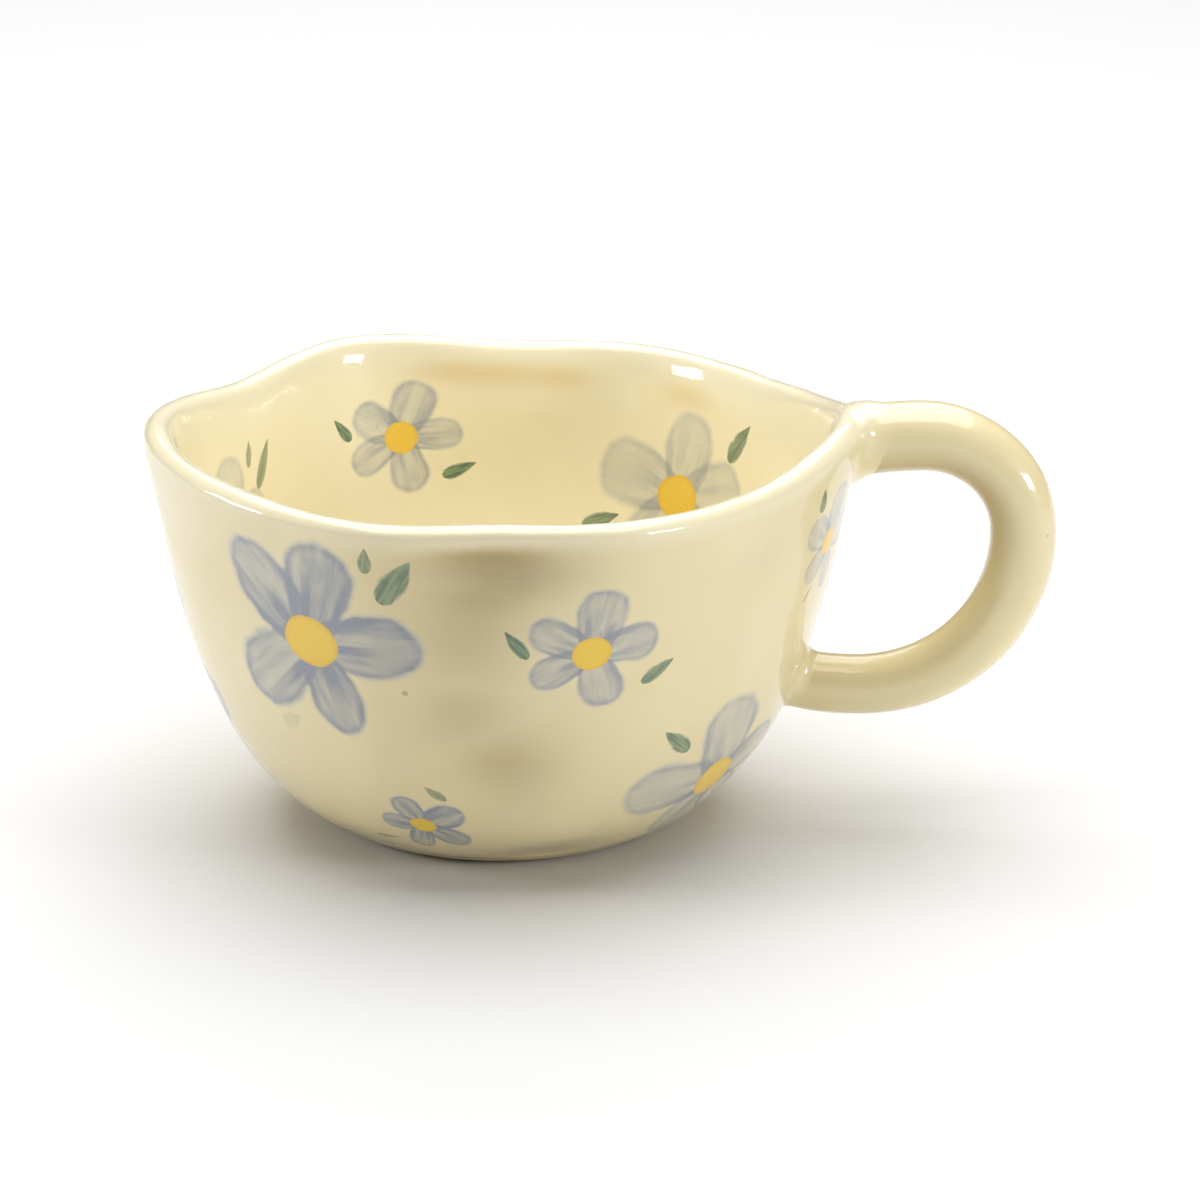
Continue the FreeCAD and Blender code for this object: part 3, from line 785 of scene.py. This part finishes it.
def glaze_material(name, painted):
    """Cream glaze under a clear coat, paler over the lip, brighter inside as painted light, and deeper with
    painted shade in the hollows, in the handle's loop and under the lip, where it also ran thicker or
    pooled.
    """
    material = bpy.data.materials.new(name)
    material.use_nodes = True
    tree = material.node_tree
    shader = tree.nodes["Principled BSDF"]
    place = node(tree, "ShaderNodeTexCoord").outputs["Object"]
    drift = grain(tree, place, 38, 3.0)
    colour = mix(tree, ramp(tree, drift, 0.3, 0.7), *CREAM)
    from_lip, inside, pool_and_shade, shade_and_thick = read_place(tree, "wall")
    # Painted shade: darker amber in the hollows outside and on the handle's inner side.
    colour = mix(tree, calc(tree, "MULTIPLY", shade_and_thick, 0.42), colour, SHADE_AND_THICK_AMBER)
    if painted:
        # Painted light: the inside of the bowl is a brighter cream than the outside.
        colour = mix(tree, calc(tree, "MULTIPLY", inside, 0.9), colour, LIT_CREAM_INSIDE)
        # Painted shade under the lip inside, with pooled glaze there and over the floor.
        colour = mix(tree, calc(tree, "MULTIPLY", pool_and_shade, 0.55), colour, POOLED_HONEY_AND_SHADE)
        wander = calc(tree, "MULTIPLY_ADD", drift, 0.25, -0.12)
        thin = ramp(tree, calc(tree, "ADD", from_lip, wander), 0.5, 0.08)
        colour = mix(tree, calc(tree, "MULTIPLY", thin, 0.75), colour, CREAM_OVER_LIP)
        colour = paint_flowers(tree, place, colour)
    specks = node(tree, "ShaderNodeTexVoronoi", {"Vector": place, "Scale": 150.0}).outputs
    chance = node(tree, "ShaderNodeSeparateColor", {0: specks["Color"]}).outputs[0]
    size = calc(tree, "MULTIPLY_ADD", chance, 0.9, -0.82)
    speck = ramp(tree, calc(tree, "SUBTRACT", specks["Distance"], size), 0.03, 0.0)
    colour = mix(tree, calc(tree, "MULTIPLY", speck, 0.45), colour, SPECK)
    tree.links.new(colour, shader.inputs["Base Color"])
    shader.inputs["Roughness"].default_value = 0.42
    shader.inputs["Coat Weight"].default_value = 1.0
    shader.inputs["Coat Roughness"].default_value = 0.06
    shader.inputs["Coat IOR"].default_value = 1.5
    swell = grain(tree, place, 95, 2.0)
    peel = grain(tree, place, 700, 2.0)
    relief = calc(tree, "MULTIPLY_ADD", peel, 0.06, swell)
    bump = node(tree, "ShaderNodeBump", {"Height": relief, "Strength": 0.20, "Distance": 0.0012})
    tree.links.new(bump.outputs[0], shader.inputs["Normal"])
    tree.links.new(bump.outputs[0], shader.inputs["Coat Normal"])
    return material


def clay_material():
    """The foot: glaze down its side, stopping in an uneven line above the bare, trimmed clay."""
    material = bpy.data.materials.new("bare_clay")
    material.use_nodes = True
    tree = material.node_tree
    shader = tree.nodes["Principled BSDF"]
    place = node(tree, "ShaderNodeTexCoord").outputs["Object"]
    height = node(tree, "ShaderNodeSeparateXYZ", {0: place}).outputs[2]
    rough = grain(tree, place, 900, 4.0)
    clay = mix(tree, rough, *CLAY)
    grog = node(tree, "ShaderNodeTexVoronoi", {"Vector": place, "Scale": 1400.0}).outputs["Distance"]
    clay = mix(tree, ramp(tree, grog, 0.25, 0.05, 0.0, 0.5), clay, GROG)
    line = calc(tree, "MULTIPLY_ADD", grain(tree, place, 120, 2.0), 0.0007, height)
    glazed = ramp(tree, line, 0.0008, 0.00095)
    colour = mix(tree, glazed, clay, FOOT_GLAZE)
    tree.links.new(colour, shader.inputs["Base Color"])
    tree.links.new(ramp(tree, glazed, 0.0, 1.0, 0.9, 0.3), shader.inputs["Roughness"])
    bump = node(tree, "ShaderNodeBump", {"Height": rough, "Strength": 0.5, "Distance": 0.0003})
    tree.links.new(bump.outputs[0], shader.inputs["Normal"])
    return material


# ------------------------------------------------------------------ the mug

bowl, wall_grid = make_bowl()
wall = Wall(wall_grid)
row_inside = np.arange(len(wall_grid))[:, None] > wall_grid[..., 2].argmax(0)[None, :]
wall.place(points_of(bowl), np.append(row_inside.ravel(), [False, True]))
paint_places(bowl, wall)
WALL_TREE = tree_of(bowl)
handle, roll_grid, roll_line = make_handle()
ROLL_TREE = tree_of(handle)
even = np.zeros(len(handle.data.vertices))
# The fourth number is painted shade on the roll's inner side, facing into the loop.
store(handle, "wall", [even, even, even, inner_side(roll_grid, roll_line)])
upper = make_slip(
    "upper_slip", (48, -19, 47), (72, 14, 72), 53.4 * MM,
    lambda p: (3.4 + 2.2 * min(max((p.z / MM - 57) / 8, 0), 1)) * MM,
)
lower = make_slip("lower_slip", (40, -13, 10), (56, 7, 33), 43.6 * MM, lambda p: 2.8 * MM)

for slip in (upper, lower):
    wall.place(points_of(slip))
    paint_places(slip, wall)

cream = glaze_material("cream_glaze", painted=False)
painted = glaze_material("painted_glaze", painted=True)
PIECES = [
    (bowl, "bowl", "painted_glaze", painted),
    (handle, "handle", "cream_glaze", cream),
    (upper, "upper_luting", "painted_glaze", painted),
    (lower, "lower_luting", "painted_glaze", painted),
]
for piece, cad_node, slot, material in PIECES:
    piece.data.materials.append(material)
    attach(piece, "root")
    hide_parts(cad_node)

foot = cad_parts["foot_ring"]
foot_clay = clay_material()
for slot in foot.material_slots:
    slot.material = foot_clay
